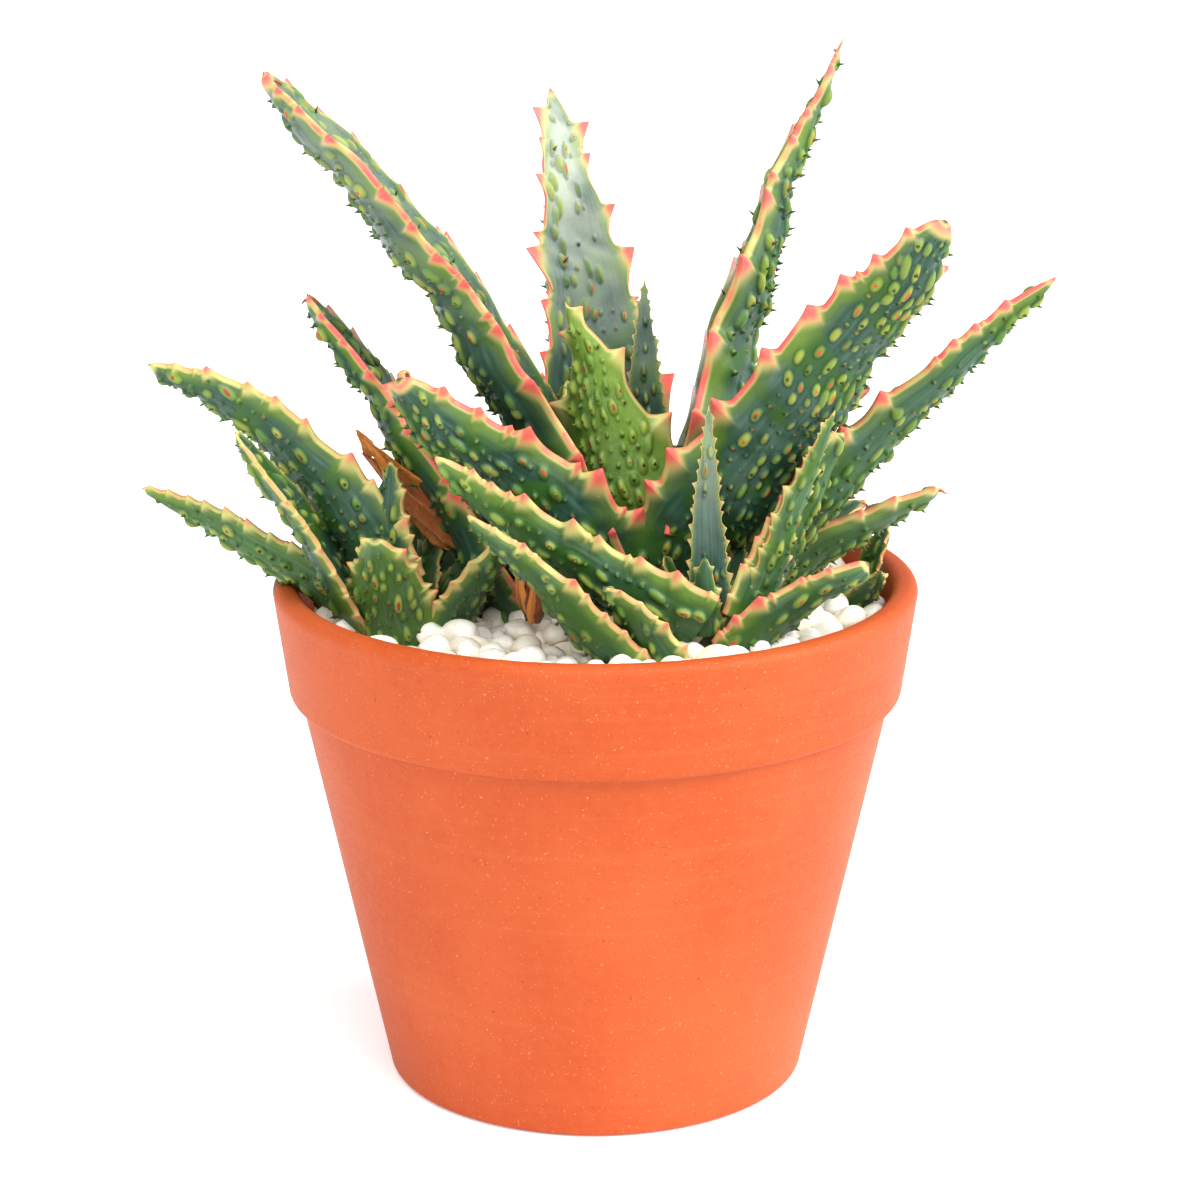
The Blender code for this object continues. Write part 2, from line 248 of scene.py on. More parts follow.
skinLook = {
    "teal": (0.017, 0.056, 0.038),
    "frost": (0.62, 0.66, 0.56),
    "green": (0.028, 0.092, 0.014),
    # pale blue-grey for the skin's waxy bloom and for painted highlight patches
    "bloomAndHighlight": (0.12, 0.22, 0.18),
    "young": (0.18, 0.30, 0.026),
    "halo": (0.16, 0.25, 0.035),
    "wartGreen": (0.085, 0.19, 0.028),
    "wartYellow": (0.32, 0.37, 0.055),
    # painted shade for the foot of each wart
    "wartBaseShade": (0.010, 0.032, 0.012),
    "dash": (0.14, 0.035, 0.010),
    "redDash": (0.50, 0.05, 0.02),
    "margin": (0.55, 0.50, 0.17),
    "pink": (0.76, 0.130, 0.105),
    "thornTip": (0.20, 0.05, 0.02),
}


def makeSkin():
    look = skinLook
    material, tree, shader = newMaterial("aloeSkin")
    cloud, grain = mottle(tree, 90.0, 1100.0)
    youth = attribute(tree, "youth")
    blush = attribute(tree, "blush")
    inward = attribute(tree, "inward")
    wart = attribute(tree, "wart")
    along = attribute(tree, "along")
    tooth = attribute(tree, "tooth")
    dash = attribute(tree, "dash")
    streak = streaks(tree)
    greenness = maths(tree, "ADD", ramp(tree, cloud, 0.48, 0.68), attribute(tree, "green"))
    colour = mixColour(tree, ramp(tree, greenness, 0.0, 1.0), look["teal"], look["green"])
    colour = mixColour(tree, ramp(tree, along, 0.30, 0.0, 0.0, 0.6), colour, look["green"])
    # pale streaky patches: partly the skin's waxy bloom, partly a painted highlight
    bloomAndHighlight = maths(tree, "MULTIPLY", ramp(tree, streak, 0.36, 0.80), ramp(tree, cloud, 0.62, 0.38))
    colour = mixColour(tree, maths(tree, "MULTIPLY", bloomAndHighlight, 0.45), colour, look["bloomAndHighlight"])
    fresh = maths(tree, "MULTIPLY", youth, ramp(tree, grain, 0.30, 0.70, 0.65, 0.95))
    colour = mixColour(tree, fresh, colour, look["young"])
    frosted = maths(tree, "MULTIPLY", attribute(tree, "frost"), ramp(tree, along, 0.30, 0.95, 0.1, 1.0))
    patchy = ramp(tree, cloud, 0.32, 0.60, 0.35, 1.0)
    colour = mixColour(tree, maths(tree, "MULTIPLY", frosted, patchy), colour, look["frost"])
    soft = maths(tree, "ADD", maths(tree, "MULTIPLY", cloud, 2.2), maths(tree, "MULTIPLY", youth, 1.0))
    halo = ramp(tree, maths(tree, "SUBTRACT", inward, soft), 0.4, -1.5, 0.0, 0.7)
    colour = mixColour(tree, halo, colour, look["halo"])
    # painted shade: a dark ring round the foot of each wart, where its relief would shade the skin
    wartBaseShadeRing = maths(tree, "MULTIPLY", ramp(tree, wart, 0.01, 0.12), ramp(tree, wart, 0.36, 0.16))
    colour = mixColour(tree, maths(tree, "MULTIPLY", wartBaseShadeRing, 0.25), colour, look["wartBaseShade"])
    wartColour = mixColour(tree, attribute(tree, "tone"), look["wartGreen"], look["wartYellow"])
    colour = mixColour(tree, ramp(tree, wart, 0.12, 0.85, 0.0, 0.8), colour, wartColour)
    dashColour = mixColour(tree, blush, look["dash"], look["redDash"])
    colour = mixColour(tree, ramp(tree, dash, 0.25, 0.6), colour, dashColour)
    colour = mixColour(tree, ramp(tree, inward, 0.24, 0.03, 0.0, 0.85), colour, look["margin"])
    rim = maths(tree, "MULTIPLY", ramp(tree, inward, 0.14, 0.02), ramp(tree, cloud, 0.35, 0.55))
    colour = mixColour(tree, maths(tree, "MULTIPLY", rim, blush), colour, look["pink"])
    colour = mixColour(tree, ramp(tree, tooth, 0.05, 0.50, 0.0, 0.85), colour, look["margin"])
    overall = maths(tree, "MULTIPLY", blush, 0.65)
    uneven = maths(tree, "ADD", overall, maths(tree, "MULTIPLY", cloud, 0.75))
    reddened = maths(tree, "MULTIPLY", tooth, uneven)
    colour = mixColour(tree, ramp(tree, reddened, 0.22, 0.68), colour, look["pink"])
    colour = mixColour(tree, ramp(tree, attribute(tree, "spike"), 0.45, 0.9), colour, look["thornTip"])
    link(tree, colour, shader.inputs["Base Color"])
    link(tree, ramp(tree, cloud, 0.3, 0.7, 0.30, 0.45), shader.inputs["Roughness"])
    setInput(shader, "Specular IOR Level", 0.25)
    setInput(shader, "Subsurface Weight", 0.05)
    setInput(shader, "Subsurface Radius", (0.002, 0.003, 0.001))
    fine = maths(tree, "MULTIPLY", grain, 0.7)
    height = maths(tree, "ADD", maths(tree, "MULTIPLY", streak, 1.2), fine)
    useBump(tree, shader, height, 0.35, 0.0003)
    return material


# fine streaks that run the length of a blade, from its loft coordinates
def streaks(tree):
    coords = tree.nodes.new("ShaderNodeUVMap")
    coords.uv_map = "OFBake"
    mapping = tree.nodes.new("ShaderNodeMapping")
    setInput(mapping, "Scale", (44.0, 3.0, 1.0))
    link(tree, coords.outputs["UV"], mapping.inputs["Vector"])
    node = tree.nodes.new("ShaderNodeTexNoise")
    setInput(node, "Scale", 1.0)
    setInput(node, "Detail", 3.0)
    link(tree, mapping.outputs["Vector"], node.inputs["Vector"])
    return node.outputs["Fac"]


clayLook = {
    "body": (0.42, 0.062, 0.0100),
    "peach": (0.47, 0.082, 0.017),
    "fleck": (0.55, 0.26, 0.12),
    "pit": (0.20, 0.032, 0.008),
    "scratch": (0.10, 0.03, 0.015),
}


def makeClay():
    look = clayLook
    material, tree, shader = newMaterial("firedClay")
    cloud, grain = mottle(tree, 26.0, 1500.0)
    fine, speck = mottle(tree, 420.0, 800.0)
    colour = mixColour(tree, ramp(tree, cloud, 0.36, 0.70), look["body"], look["peach"])
    colour = mixColour(tree, ramp(tree, fine, 0.35, 0.70, 0.0, 0.35), colour, look["peach"])
    colour = mixColour(tree, ramp(tree, grain, 0.62, 0.74, 0.0, 0.55), colour, look["fleck"])
    colour = mixColour(tree, ramp(tree, speck, 0.34, 0.24, 0.0, 0.6), colour, look["pit"])
    rings = noise(tree, 9.0, 3.0, (1.0, 1.0, 60.0))
    colour = mixColour(tree, ramp(tree, rings, 0.50, 0.80, 0.0, 0.05), colour, look["fleck"])
    colour = mixColour(tree, lipScratch(tree), colour, look["scratch"])
    link(tree, colour, shader.inputs["Base Color"])
    link(tree, ramp(tree, grain, 0.3, 0.7, 0.50, 0.68), shader.inputs["Roughness"])
    setInput(shader, "Specular IOR Level", 0.22)
    height = maths(tree, "ADD", maths(tree, "MULTIPLY", rings, 0.2), grain)
    height = maths(tree, "ADD", height, maths(tree, "MULTIPLY", speck, 0.8))
    useBump(tree, shader, height, 0.25, 0.00025)
    return material


# one short dark scratch round the left side of the lip
def lipScratch(tree):
    coords = tree.nodes.new("ShaderNodeTexCoord")
    mapping = tree.nodes.new("ShaderNodeMapping")
    mapping.vector_type = "TEXTURE"
    setInput(mapping, "Location", (-rimRadius + 0.001, -0.006, rimHeight - 0.0012))
    setInput(mapping, "Rotation", (0.12, 0.0, 0.0))
    setInput(mapping, "Scale", (0.004, 0.0065, 0.0006))
    link(tree, coords.outputs["Object"], mapping.inputs["Vector"])
    node = tree.nodes.new("ShaderNodeVectorMath")
    node.operation = "LENGTH"
    link(tree, mapping.outputs["Vector"], node.inputs[0])
    return ramp(tree, node.outputs["Value"], 1.0, 0.5, 0.0, 0.8)


def makeStone():
    material, tree, shader = newMaterial("creamPebble")
    cloud, grain = mottle(tree, 190.0, 1500.0)
    tint = attribute(tree, "tint")
    colour = mixColour(tree, ramp(tree, tint, 0.0, 0.7), (0.91, 0.83, 0.68), (0.95, 0.92, 0.85))
    colour = mixColour(tree, ramp(tree, cloud, 0.46, 0.74, 0.0, 0.45), colour, (0.84, 0.68, 0.46))
    colour = mixColour(tree, ramp(tree, grain, 0.60, 0.72, 0.0, 0.5), colour, (0.50, 0.36, 0.22))
    link(tree, colour, shader.inputs["Base Color"])
    link(tree, ramp(tree, cloud, 0.3, 0.7, 0.38, 0.60), shader.inputs["Roughness"])
    height = maths(tree, "ADD", cloud, maths(tree, "MULTIPLY", grain, 0.5))
    useBump(tree, shader, height, 0.45, 0.0004)
    return material


def makeEarth():
    material, tree, shader = newMaterial("pottingEarth")
    cloud, grain = mottle(tree, 240.0, 1200.0)
    colour = mixColour(tree, ramp(tree, cloud, 0.4, 0.65), (0.018, 0.011, 0.007), (0.075, 0.045, 0.025))
    link(tree, colour, shader.inputs["Base Color"])
    link(tree, ramp(tree, grain, 0.3, 0.7, 0.85, 0.98), shader.inputs["Roughness"])
    useBump(tree, shader, cloud, 0.8, 0.001)
    return material


def makeStemSkin():
    material, tree, shader = newMaterial("stemSkin")
    cloud, grain = mottle(tree, 120.0, 900.0)
    colour = mixColour(tree, ramp(tree, cloud, 0.4, 0.65), (0.05, 0.09, 0.03), (0.16, 0.20, 0.06))
    colour = mixColour(tree, ramp(tree, grain, 0.5, 0.7, 0.0, 0.6), colour, (0.15, 0.08, 0.03))
    link(tree, colour, shader.inputs["Base Color"])
    link(tree, ramp(tree, grain, 0.3, 0.7, 0.5, 0.75), shader.inputs["Roughness"])
    useBump(tree, shader, grain, 0.4, 0.0004)
    return material


def makeDry():
    material, tree, shader = newMaterial("dryLeaf")
    cloud, grain = mottle(tree, 170.0, 1200.0)
    tone = attribute(tree, "tone")
    colour = mixColour(tree, ramp(tree, tone, -0.5, 0.0), (0.035, 0.020, 0.010), (0.27, 0.065, 0.024))
    colour = mixColour(tree, ramp(tree, tone, 0.0, 0.5), colour, (0.68, 0.23, 0.040))
    colour = mixColour(tree, ramp(tree, tone, 0.5, 1.0), colour, (0.50, 0.36, 0.20))
    colour = mixColour(tree, ramp(tree, cloud, 0.45, 0.70, 0.0, 0.4), colour, (0.20, 0.07, 0.025))
    colour = mixColour(tree, ramp(tree, grain, 0.60, 0.75, 0.0, 0.35), colour, (0.60, 0.38, 0.20))
    link(tree, colour, shader.inputs["Base Color"])
    link(tree, ramp(tree, grain, 0.3, 0.7, 0.32, 0.6), shader.inputs["Roughness"])
    useBump(tree, shader, maths(tree, "ADD", cloud, grain), 0.5, 0.0005)
    return material


skin = makeSkin()
clay = makeClay()
stone = makeStone()
earth = makeEarth()
stemSkin = makeStemSkin()
dry = makeDry()
print("materials made")


def unit(vectors):
    return vectors / np.linalg.norm(vectors, axis=-1, keepdims=True)


def addPiece(name, points, faces, material, nodes, marks=None, uvs=None):
    mesh = bpy.data.meshes.new(name)
    mesh.from_pydata(points.tolist(), [], faces)
    for key, values in (marks or {}).items():
        layer = mesh.attributes.new(key, "FLOAT", "POINT")
        layer.data.foreach_set("value", np.asarray(values, np.float32))
    if uvs is not None:
        mesh.uv_layers.new(name="OFBake").data.foreach_set("uv", np.asarray(uvs, np.float32).ravel())
    mesh.materials.append(material)
    mesh.shade_smooth()
    piece = bpy.data.objects.new(name, mesh)
    bpy.context.scene.collection.objects.link(piece)
    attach(piece, "root")
    if nodes:
        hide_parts(*nodes)
    return piece


cadSteps = 11


# points and axes down the middle of a blade, from foot to tip
def bladeLine(row, steps):
    clump, out, height, direction, lean, bend, sweep, length = row[:8]
    turn = math.radians(direction)
    share = np.linspace(0, 1, steps + 1)
    lag = np.clip(share - 0.5 / cadSteps, 0, 1)
    pitch = np.radians(lean + bend * lag)
    heading = np.radians(direction + sweep * lag)
    level = np.cos(pitch)
    ahead = np.stack([level * np.cos(heading), level * np.sin(heading), np.sin(pitch)], 1)
    clumpX, clumpY = clumps[clump]
    foot = np.array([clumpX + out * math.cos(turn), clumpY + out * math.sin(turn), height])
    foot = foot * mm + (0, 0, bedTop)
    middle = np.vstack([foot, foot + np.cumsum(ahead[:-1] * length * mm / steps, 0)])
    flat = np.stack([np.sin(heading), -np.cos(heading), np.zeros_like(heading)], 1)
    rise = np.cross(flat, ahead)
    roll = math.radians(row[9])
    side = flat * math.cos(roll) - rise * math.sin(roll)
    return share, middle, ahead, side, np.cross(side, ahead)


leafShape = {
    "stationStep": 0.42,    # mm along the blade
    "acrossStep": 0.36,    # mm across each face
    "belly": 0.36,
    "channel": 0.13,
    "edgeThickness": 0.9,
    "toothHeight": (0.7, 0.118),    # mm, and share of the blade's width
    "toothSpacing": 3.3,    # times the tooth's height
    "wartHeight": 1.15,
    "wartRow": 2.9,
    "wartStep": 4.0,
    "swell": 0.14,    # uneven flesh between the warts
    "thornHeight": 1.6,
    "thornChance": (0.16, 0.5),    # share of warts with a thorn, above and below
    "seed": 100,    # of the first leaf
}


# place, height and half bases of each tooth down one edge
def toothRow(length, width, size, rng):
    base, share = leafShape["toothHeight"]
    full = (base + share * width) * size
    teeth = []
    at = full * rng.uniform(0.5, 1.5)
    while at < length * 0.975:
        share = at / length
        height = full * (1 - 0.5 * share) * (0.25 + 0.75 * min(1, share * 4)) * rng.uniform(0.5, 1.2)
        teeth.append((at, height, height * rng.uniform(1.5, 2.3), height * rng.uniform(0.6, 0.9)))
        if rng.random() < 0.35:
            ahead = at + height * rng.uniform(0.75, 1.0)
            teeth.append((ahead, height * rng.uniform(0.4, 0.7), height * 0.5, height * 0.45))
        room = max(height, 0.6 * full * (1 - 0.5 * share))
        at += room * leafShape["toothSpacing"] * rng.uniform(0.7, 1.2)
    return teeth


# how far each station's edge stands out, and how near it is to a tooth's point
def toothLift(distance, teeth):
    lift = np.zeros_like(distance)
    point = np.zeros_like(distance)
    for at, height, behind, before in teeth:
        gap = distance - at
        near = np.clip(1 - np.where(gap < 0, -gap / behind, gap / before), 0, 1) ** 1.7
        lift = np.maximum(lift, near * height)
        point = np.maximum(point, near * min(1.0, height / 2.2))
    return lift, point


# warts stand in rows down the blade, each a little longer than it is wide
def wartSpots(length, width, taper, keep, rng):
    spots = []
    rows = int(width / leafShape["wartRow"])
    for index in range(rows + 1):
        lane = (index - rows / 2) * leafShape["wartRow"]
        at = rng.uniform(1.0, leafShape["wartStep"])
        while at < 0.97 * length:
            local = width / 2 * (1 - at / length) ** taper
            across = lane * (0.55 + 0.45 * local / (width / 2)) + rng.uniform(-0.55, 0.55)
            small = rng.random() < 0.4
            size = rng.uniform(0.45, 0.7) if small else rng.uniform(0.8, 1.2)
            size *= 0.75 + 0.25 * min(1, width / 25)
            stretch = rng.uniform(1.0, 1.4) if small else rng.uniform(1.6, 3.1)
            if rng.random() < keep and abs(across) < local * 0.84:
                spots.append((at, across, 0.94 * size * stretch, 0.94 * size, size, rng.random()))
            at += leafShape["wartStep"] * rng.uniform(0.7, 1.3) * (0.6 + 0.22 * stretch)
    return spots


def wartField(along, across, spots):
    rise = np.zeros_like(along)
    dash = np.zeros_like(along)
    tone = np.zeros_like(along)
    for spotAlong, spotAcross, longHalf, wideHalf, size, chance in spots:
        window = np.abs(along[:, 0] - spotAlong) < longHalf
        first = (along[window] - spotAlong) / longHalf
        second = (across[window] - spotAcross) / wideHalf
        bell = np.clip(1 - np.abs(first) ** 2.5 - second ** 2, 0, 1) ** 1.1
        higher = bell * size > rise[window]
        tone[window] = np.where(higher, (chance * 7.3) % 1, tone[window])
        rise[window] = np.maximum(rise[window], bell * size)
        if chance < 0.5:
            long = 0.6 if chance < 0.22 else 0.26
            inner = np.clip(1 - (first / long) ** 2 - (second / 0.34) ** 2, 0, 1)
            dash[window] = np.maximum(dash[window], inner)
    return rise, dash, tone


# a small thorn standing on the skin
def thorn(base, normal, ahead, height, sides=6):
    lean = unit(normal + 0.45 * ahead)
    first = unit(np.cross(lean, ahead))
    second = np.cross(lean, first)
    ring = []
    for radius, level in ((0.50, -0.3), (0.20, 0.45)):
        for index in range(sides):
            angle = 2 * math.pi * index / sides
            spread = first * math.cos(angle) + second * math.sin(angle)
            ring.append(base + spread * radius * mm + lean * level * height * mm)
    ring.append(base + lean * height * mm)
    faces = [tuple(range(sides))[::-1]]
    for index in range(sides):
        following = (index + 1) % sides
        faces.append((index, following, sides + following, sides + index))
        faces.append((sides + index, sides + following, 2 * sides))
    return ring, faces, [0.0] * sides + [0.45] * sides + [1.0]


def smoothWaver(distance, waves, rng):
    total = np.zeros_like(distance)
    for amount, period in waves:
        total += amount * np.sin(2 * math.pi * distance / period + rng.uniform(0, 6.3))
    return total


def makeLeaf(node, row, seed):
    rng = np.random.default_rng(seed)
    look = {**plainLook, **clumpLook[row[0]], **leafLook.get(node, {})}
    length, width = row[7], row[8]
    steps = int(length / leafShape["stationStep"])
    columns = max(26, int(width / leafShape["acrossStep"]))
    share, middle, ahead, side, up = bladeLine(row, steps)
    distance = share * length
    ease = np.clip(share * 4, 0, 1) * np.clip((1 - share) * 4 + 0.4, 0, 1)
    sway = smoothWaver(distance, ((0.018 * width, 47), (0.008 * width, 19)), rng) * ease
    nod = smoothWaver(distance, ((0.015 * width, 39), (0.006 * width, 17)), rng) * ease
    middle = middle + (side * sway[:, None] + up * nod[:, None]) * mm
    half = width / 2 * np.clip(1 - share, 0, 1) ** look["taper"]
    half = half * (1 + smoothWaver(distance, ((0.035, 31), (0.02, 13)), rng))
    even = np.linspace(-1, 1, columns)
    spread = 0.5 * even + 0.5 * np.sin(even * math.pi / 2)
    across = np.concatenate([spread, spread[::-1]])
    isUpper = np.concatenate([np.ones(columns), np.zeros(columns)])
    sideways = half[:, None] * across[None, :]
    edgeHalf = np.minimum(leafShape["edgeThickness"], half * 0.4) / 2
    bow = 1 - across ** 2
    dip = 2 * half[:, None] * leafShape["channel"] * bow * (1 - 0.5 * share[:, None])
    belly = 2 * half[:, None] * leafShape["belly"] * bow ** 0.75
    inward = half[:, None] * (1 - np.abs(across))

    # the edges' teeth: each side has its own row
    lift = np.zeros((steps + 1, 2 * columns))
    point = np.zeros_like(lift)
    for sign in (-1, 1):
        sideLift, sidePoint = toothLift(distance, toothRow(length, width, look["teeth"], rng))
        chosen = np.sign(across) == sign
        lift[:, chosen] = sideLift[:, None]
        point[:, chosen] = sidePoint[:, None]
    reach = np.clip(1 - inward / (0.35 * lift + 0.9), 0, 1) ** 1.6
    lift = lift * reach
    point = point * reach
    thin = 1 - 0.8 * point
    normalWay = np.where(isUpper > 0, edgeHalf[:, None] * thin - dip, -edgeHalf[:, None] * thin - belly)

    # warts: full below, fewer in the channel
    alongGrid = np.repeat(distance[:, None], columns, 1)
    rise = np.zeros_like(lift)
    dash = np.zeros_like(lift)
    tone = np.zeros_like(lift)
    spotLists = []
    for start, keep in ((0, 0.6), (columns, 1.0)):
        spots = wartSpots(length, width, look["taper"], keep * look["warts"], rng)
        spotLists.append(spots)
        face = slice(start, start + columns)
        rise[:, face], dash[:, face], tone[:, face] = wartField(alongGrid, sideways[:, face], spots)
    rise *= np.clip(inward / 1.4, 0, 1)
    swell = np.sin(alongGrid / 1.35 + 2 * np.sin(alongGrid / 5.1 + seed))
    swell = swell * np.cos(sideways / 1.5 + seed)[:, :columns]
    swell = np.concatenate([swell, swell[:, ::-1]], 1) * np.clip(inward / 2.5, 0, 1)
    dash *= np.clip(inward / 1.4, 0, 1)

    points = middle[:, None] + side[:, None] * (sideways + np.sign(across) * lift)[..., None] * mm
    points = points + up[:, None] * (normalWay + 0.20 * lift)[..., None] * mm
    points = points + ahead[:, None] * (0.5 * lift)[..., None] * mm
    downRow = np.gradient(points, axis=0)
    roundRow = np.roll(points, -1, 1) - np.roll(points, 1, 1)
    normals = np.cross(roundRow, downRow)
    normals = normals / np.maximum(np.linalg.norm(normals, axis=-1, keepdims=True), 1e-12)
    outward = np.sum(normals * up[:, None], -1) * np.where(isUpper > 0, 1, -1)
    if np.median(outward) < 0:
        normals = -normals
    relief = rise * leafShape["wartHeight"] + swell * leafShape["swell"]
    points = points + normals * relief[..., None] * mm

    ringSize = 2 * columns
    total = steps * ringSize
    marks = {
        "wart": rise[:steps].ravel(),
        "dash": dash[:steps].ravel(),
        "tone": tone[:steps].ravel(),
        "inward": (inward * 24 / (width + 6))[:steps].ravel(),
        "tooth": np.maximum(point, np.clip((share[:, None] - 0.97) * 25, 0, 0.7))[:steps].ravel(),
        "along": np.repeat(share[:steps], ringSize),
        "spike": np.zeros(total),
    }
    rows, ring = np.meshgrid(np.arange(steps - 1), np.arange(ringSize), indexing="ij")
    after = (ring + 1) % ringSize
    low, high = rows * ringSize, (rows + 1) * ringSize
    quads = np.stack([low + ring, low + after, high + after, high + ring], -1).reshape(-1, 4)
    uLow, uHigh = ring / ringSize, (ring + 1) / ringSize
    vLow, vHigh = 0.93 * rows / steps, 0.93 * (rows + 1) / steps
    pairs = ((uLow, vLow), (uHigh, vLow), (uHigh, vHigh), (uLow, vHigh))
    corners = [np.stack(pair, -1) for pair in pairs]
    faces = quads.tolist()
    uvs = np.stack(corners, 2).reshape(-1, 2).tolist()
    last = (steps - 1) * ringSize
    for column in range(ringSize):
        following = (column + 1) % ringSize
        faces.append((last + column, last + following, total))
        uvs += [(column / ringSize, 0.925), ((column + 1) / ringSize, 0.925), (column / ringSize, 0.93)]
        faces.append((following, column, total + 1))
        uvs += [((column + 1) / ringSize, 0.0), (column / ringSize, 0.0), (column / ringSize, 0.0)]
    extra = [middle[steps - 1] + ahead[-1] * 0.9 * mm, middle[0]]
    extraSpike = [0.9, 0.0]

    # thorns on the warts: most along the keel and near the edges below, a few in the channel
    for start, spots, chance in zip((0, columns), spotLists, leafShape["thornChance"]):
        for spotAlong, spotAcross, _, _, size, _ in spots:
            rowIndex = min(steps - 2, max(1, int(spotAlong / length * steps)))
            place = spotAcross / max(half[rowIndex], 0.1)
            if rng.random() > chance or abs(place) > 0.86:
                continue
            column = start + int(np.argmin(np.abs(across[start:start + columns] - place)))
            height = leafShape["thornHeight"] * size * (0.55 + width / 80)
            ring, ringFaces, ringSpike = thorn(
                points[rowIndex, column], normals[rowIndex, column], ahead[rowIndex], height)
            offset = total + len(extra)
            for ringFace in ringFaces:
                faces.append(tuple(offset + index for index in ringFace))
                uvs += [(0.01 * (index % 7) + 0.001, 0.95 + 0.005 * (index // 7)) for index in ringFace]
            extra += ring
            extraSpike += ringSpike
    count = len(extra)
    for key in marks:
        marks[key] = np.concatenate([marks[key], np.zeros(count)])
    marks["spike"][total:] = extraSpike
    marks["wart"][total + 2:] = 0.4
    marks["inward"][total:] = 5.0
    marks["along"][total:] = 0.5
    for key in ("youth", "blush", "green", "frost"):
        marks[key] = np.full(total + count, look[key])
    allPoints = np.vstack([points[:steps].reshape(-1, 3), np.array(extra)])
    return addPiece(node + "_blade", allPoints, faces, skin, [node], marks, uvs)


for number, (node, row) in enumerate(leafRows.items()):
    makeLeaf(node, row, leafShape["seed"] + number)
print("leaves made")


potShape = {
    "bandHeight": 27.0, "bandStep": 2.8, "bandTaper": 3.2, "wall": 6.0, "floor": 7.0, "drain": 7.0,
    "foot": 49.5, "lipRound": 2.5, "edgeRound": 2.0, "wobble": (0.07, 0.05), "segments": 288,
}


def arc(centre, radius, start, end, steps):
    angles = np.radians(np.linspace(start, end, steps + 1))
    return [(centre[0] + radius * math.cos(a), centre[1] + radius * math.sin(a)) for a in angles]


def between(first, second, steps):
    return [tuple(np.array(first) + (np.array(second) - first) * k / steps) for k in range(1, steps)]


def makePot():
    shape = potShape
    height, rim = rimHeight / mm, rimRadius / mm
    bandLow = height - shape["bandHeight"]
    bandRadius = rim - shape["bandTaper"]
    bodyTop = bandRadius - shape["bandStep"]
    lip, edge = shape["lipRound"], shape["edgeRound"]
    innerTop = bodyTop - shape["wall"] + rim - bodyTop
    outline = arc((innerTop + lip, height - lip), lip, 180, 90, 8)
    outline += arc((rim - lip, height - lip), lip, 90, 0, 8)
    low = (bandRadius, bandLow + edge)
    outline += between(outline[-1], low, 10)
    outline += arc((bandRadius - edge, bandLow + edge), edge, 0, -90, 8)
    outline += arc((bodyTop + 0.8, bandLow - 0.8), 0.8, 90, 180, 5)
    footTop = (shape["foot"], edge)
    outline += between(outline[-1], footTop, 28)
    outline += arc((shape["foot"] - edge, edge), edge, 0, -90, 6)
    outline += between(outline[-1], (shape["drain"] + 0.6, 0), 12)
    outline += arc((shape["drain"] + 0.6, 0.6), 0.6, -90, -180, 3)
    outline += [(shape["drain"], shape["floor"])]
    innerFoot = (shape["foot"] - shape["wall"] + 1.5, shape["floor"])
    outline += between(outline[-1], innerFoot, 6) + [innerFoot]
    innerLow = (bodyTop - shape["wall"], bandLow)
    outline += between(innerFoot, innerLow, 14) + [innerLow]
    outline += between(innerLow, (innerTop, height - lip), 6)
    outline = np.array(outline)
    turns = np.linspace(0, 2 * math.pi, shape["segments"], endpoint=False)
    slow, quick = shape["wobble"]
    wobble = slow * np.sin(3 * turns + 0.7) + quick * np.sin(7 * turns)
    radius = outline[None, :, 0] + wobble[:, None] * (outline[None, :, 0] > 20) - 0.1
    points = np.stack([radius * np.cos(turns)[:, None], radius * np.sin(turns)[:, None],
                       np.repeat(outline[None, :, 1], len(turns), 0)], -1) * mm
    count = len(outline)
    faces = []
    for turn in range(len(turns)):
        after = (turn + 1) % len(turns)
        for index in range(count):
            following = (index + 1) % count
            faces.append((turn * count + index, turn * count + following,
                          after * count + following, after * count + index))
    return addPiece("clay_pot", points.reshape(-1, 3), faces, clay, ["pot"])


makePot()
print("pot made")


pebbleShape = {
    "count": 900,
    "small": 1.9,    # radii in mm
    "large": 3.7,
    "wall": 66.8,    # radius the pebbles stay inside
    "depth": 5.6,
    "spread": 62,    # they are dropped within this radius
    "drop": (-8, 6),    # and this far below and above the bed's top
    "rounds": 110,
    "seed": 7,
}


# balls settled by pushing overlapping neighbours apart inside the rim
def settlePebbles():
    shape = pebbleShape
    rng = np.random.default_rng(shape["seed"])
    count = shape["count"]
    radius = shape["small"] + (shape["large"] - shape["small"]) * rng.uniform(0, 1, count) ** 1.3
    turn = rng.uniform(0, 2 * math.pi, count)
    out = np.sqrt(rng.uniform(0, 1, count)) * shape["spread"]
    top = bedTop / mm
    lowest, highest = shape["drop"]
    level = rng.uniform(top + lowest, top + highest, count)
    spots = np.stack([out * np.cos(turn), out * np.sin(turn), level], 1)
    for _ in range(shape["rounds"]):
        spots[:, 2] -= 0.25
        gap = spots[:, None] - spots[None]
        apart = np.sqrt(np.einsum("ijk,ijk->ij", gap, gap)) + np.eye(count) * 100
        overlap = np.clip(radius[:, None] + radius[None] - apart, 0, None)
        push = 0.42 * np.einsum("ijk,ij->ik", gap, overlap / apart)
        spots += push.clip(-1.5, 1.5)
        level = np.hypot(spots[:, 0], spots[:, 1])
        allowed = shape["wall"] - radius
        spots[:, :2] *= np.where(level > allowed, allowed / level, 1)[:, None]
        spots[:, 2] = np.maximum(spots[:, 2], top - shape["depth"] + radius)
    return spots, radius, rng


def ballMesh(level):
    form = bmesh.new()
    bmesh.ops.create_icosphere(form, subdivisions=level, radius=1.0)
    points = np.array([vertex.co[:] for vertex in form.verts])
    faces = np.array([[vertex.index for vertex in face.verts] for face in form.faces])
    form.free()
    return points, faces


def turnAbout(first, second, angle):
    matrix = np.eye(3)
    matrix[first, first] = matrix[second, second] = math.cos(angle)
    matrix[first, second] = -math.sin(angle)
    matrix[second, first] = math.sin(angle)
    return matrix


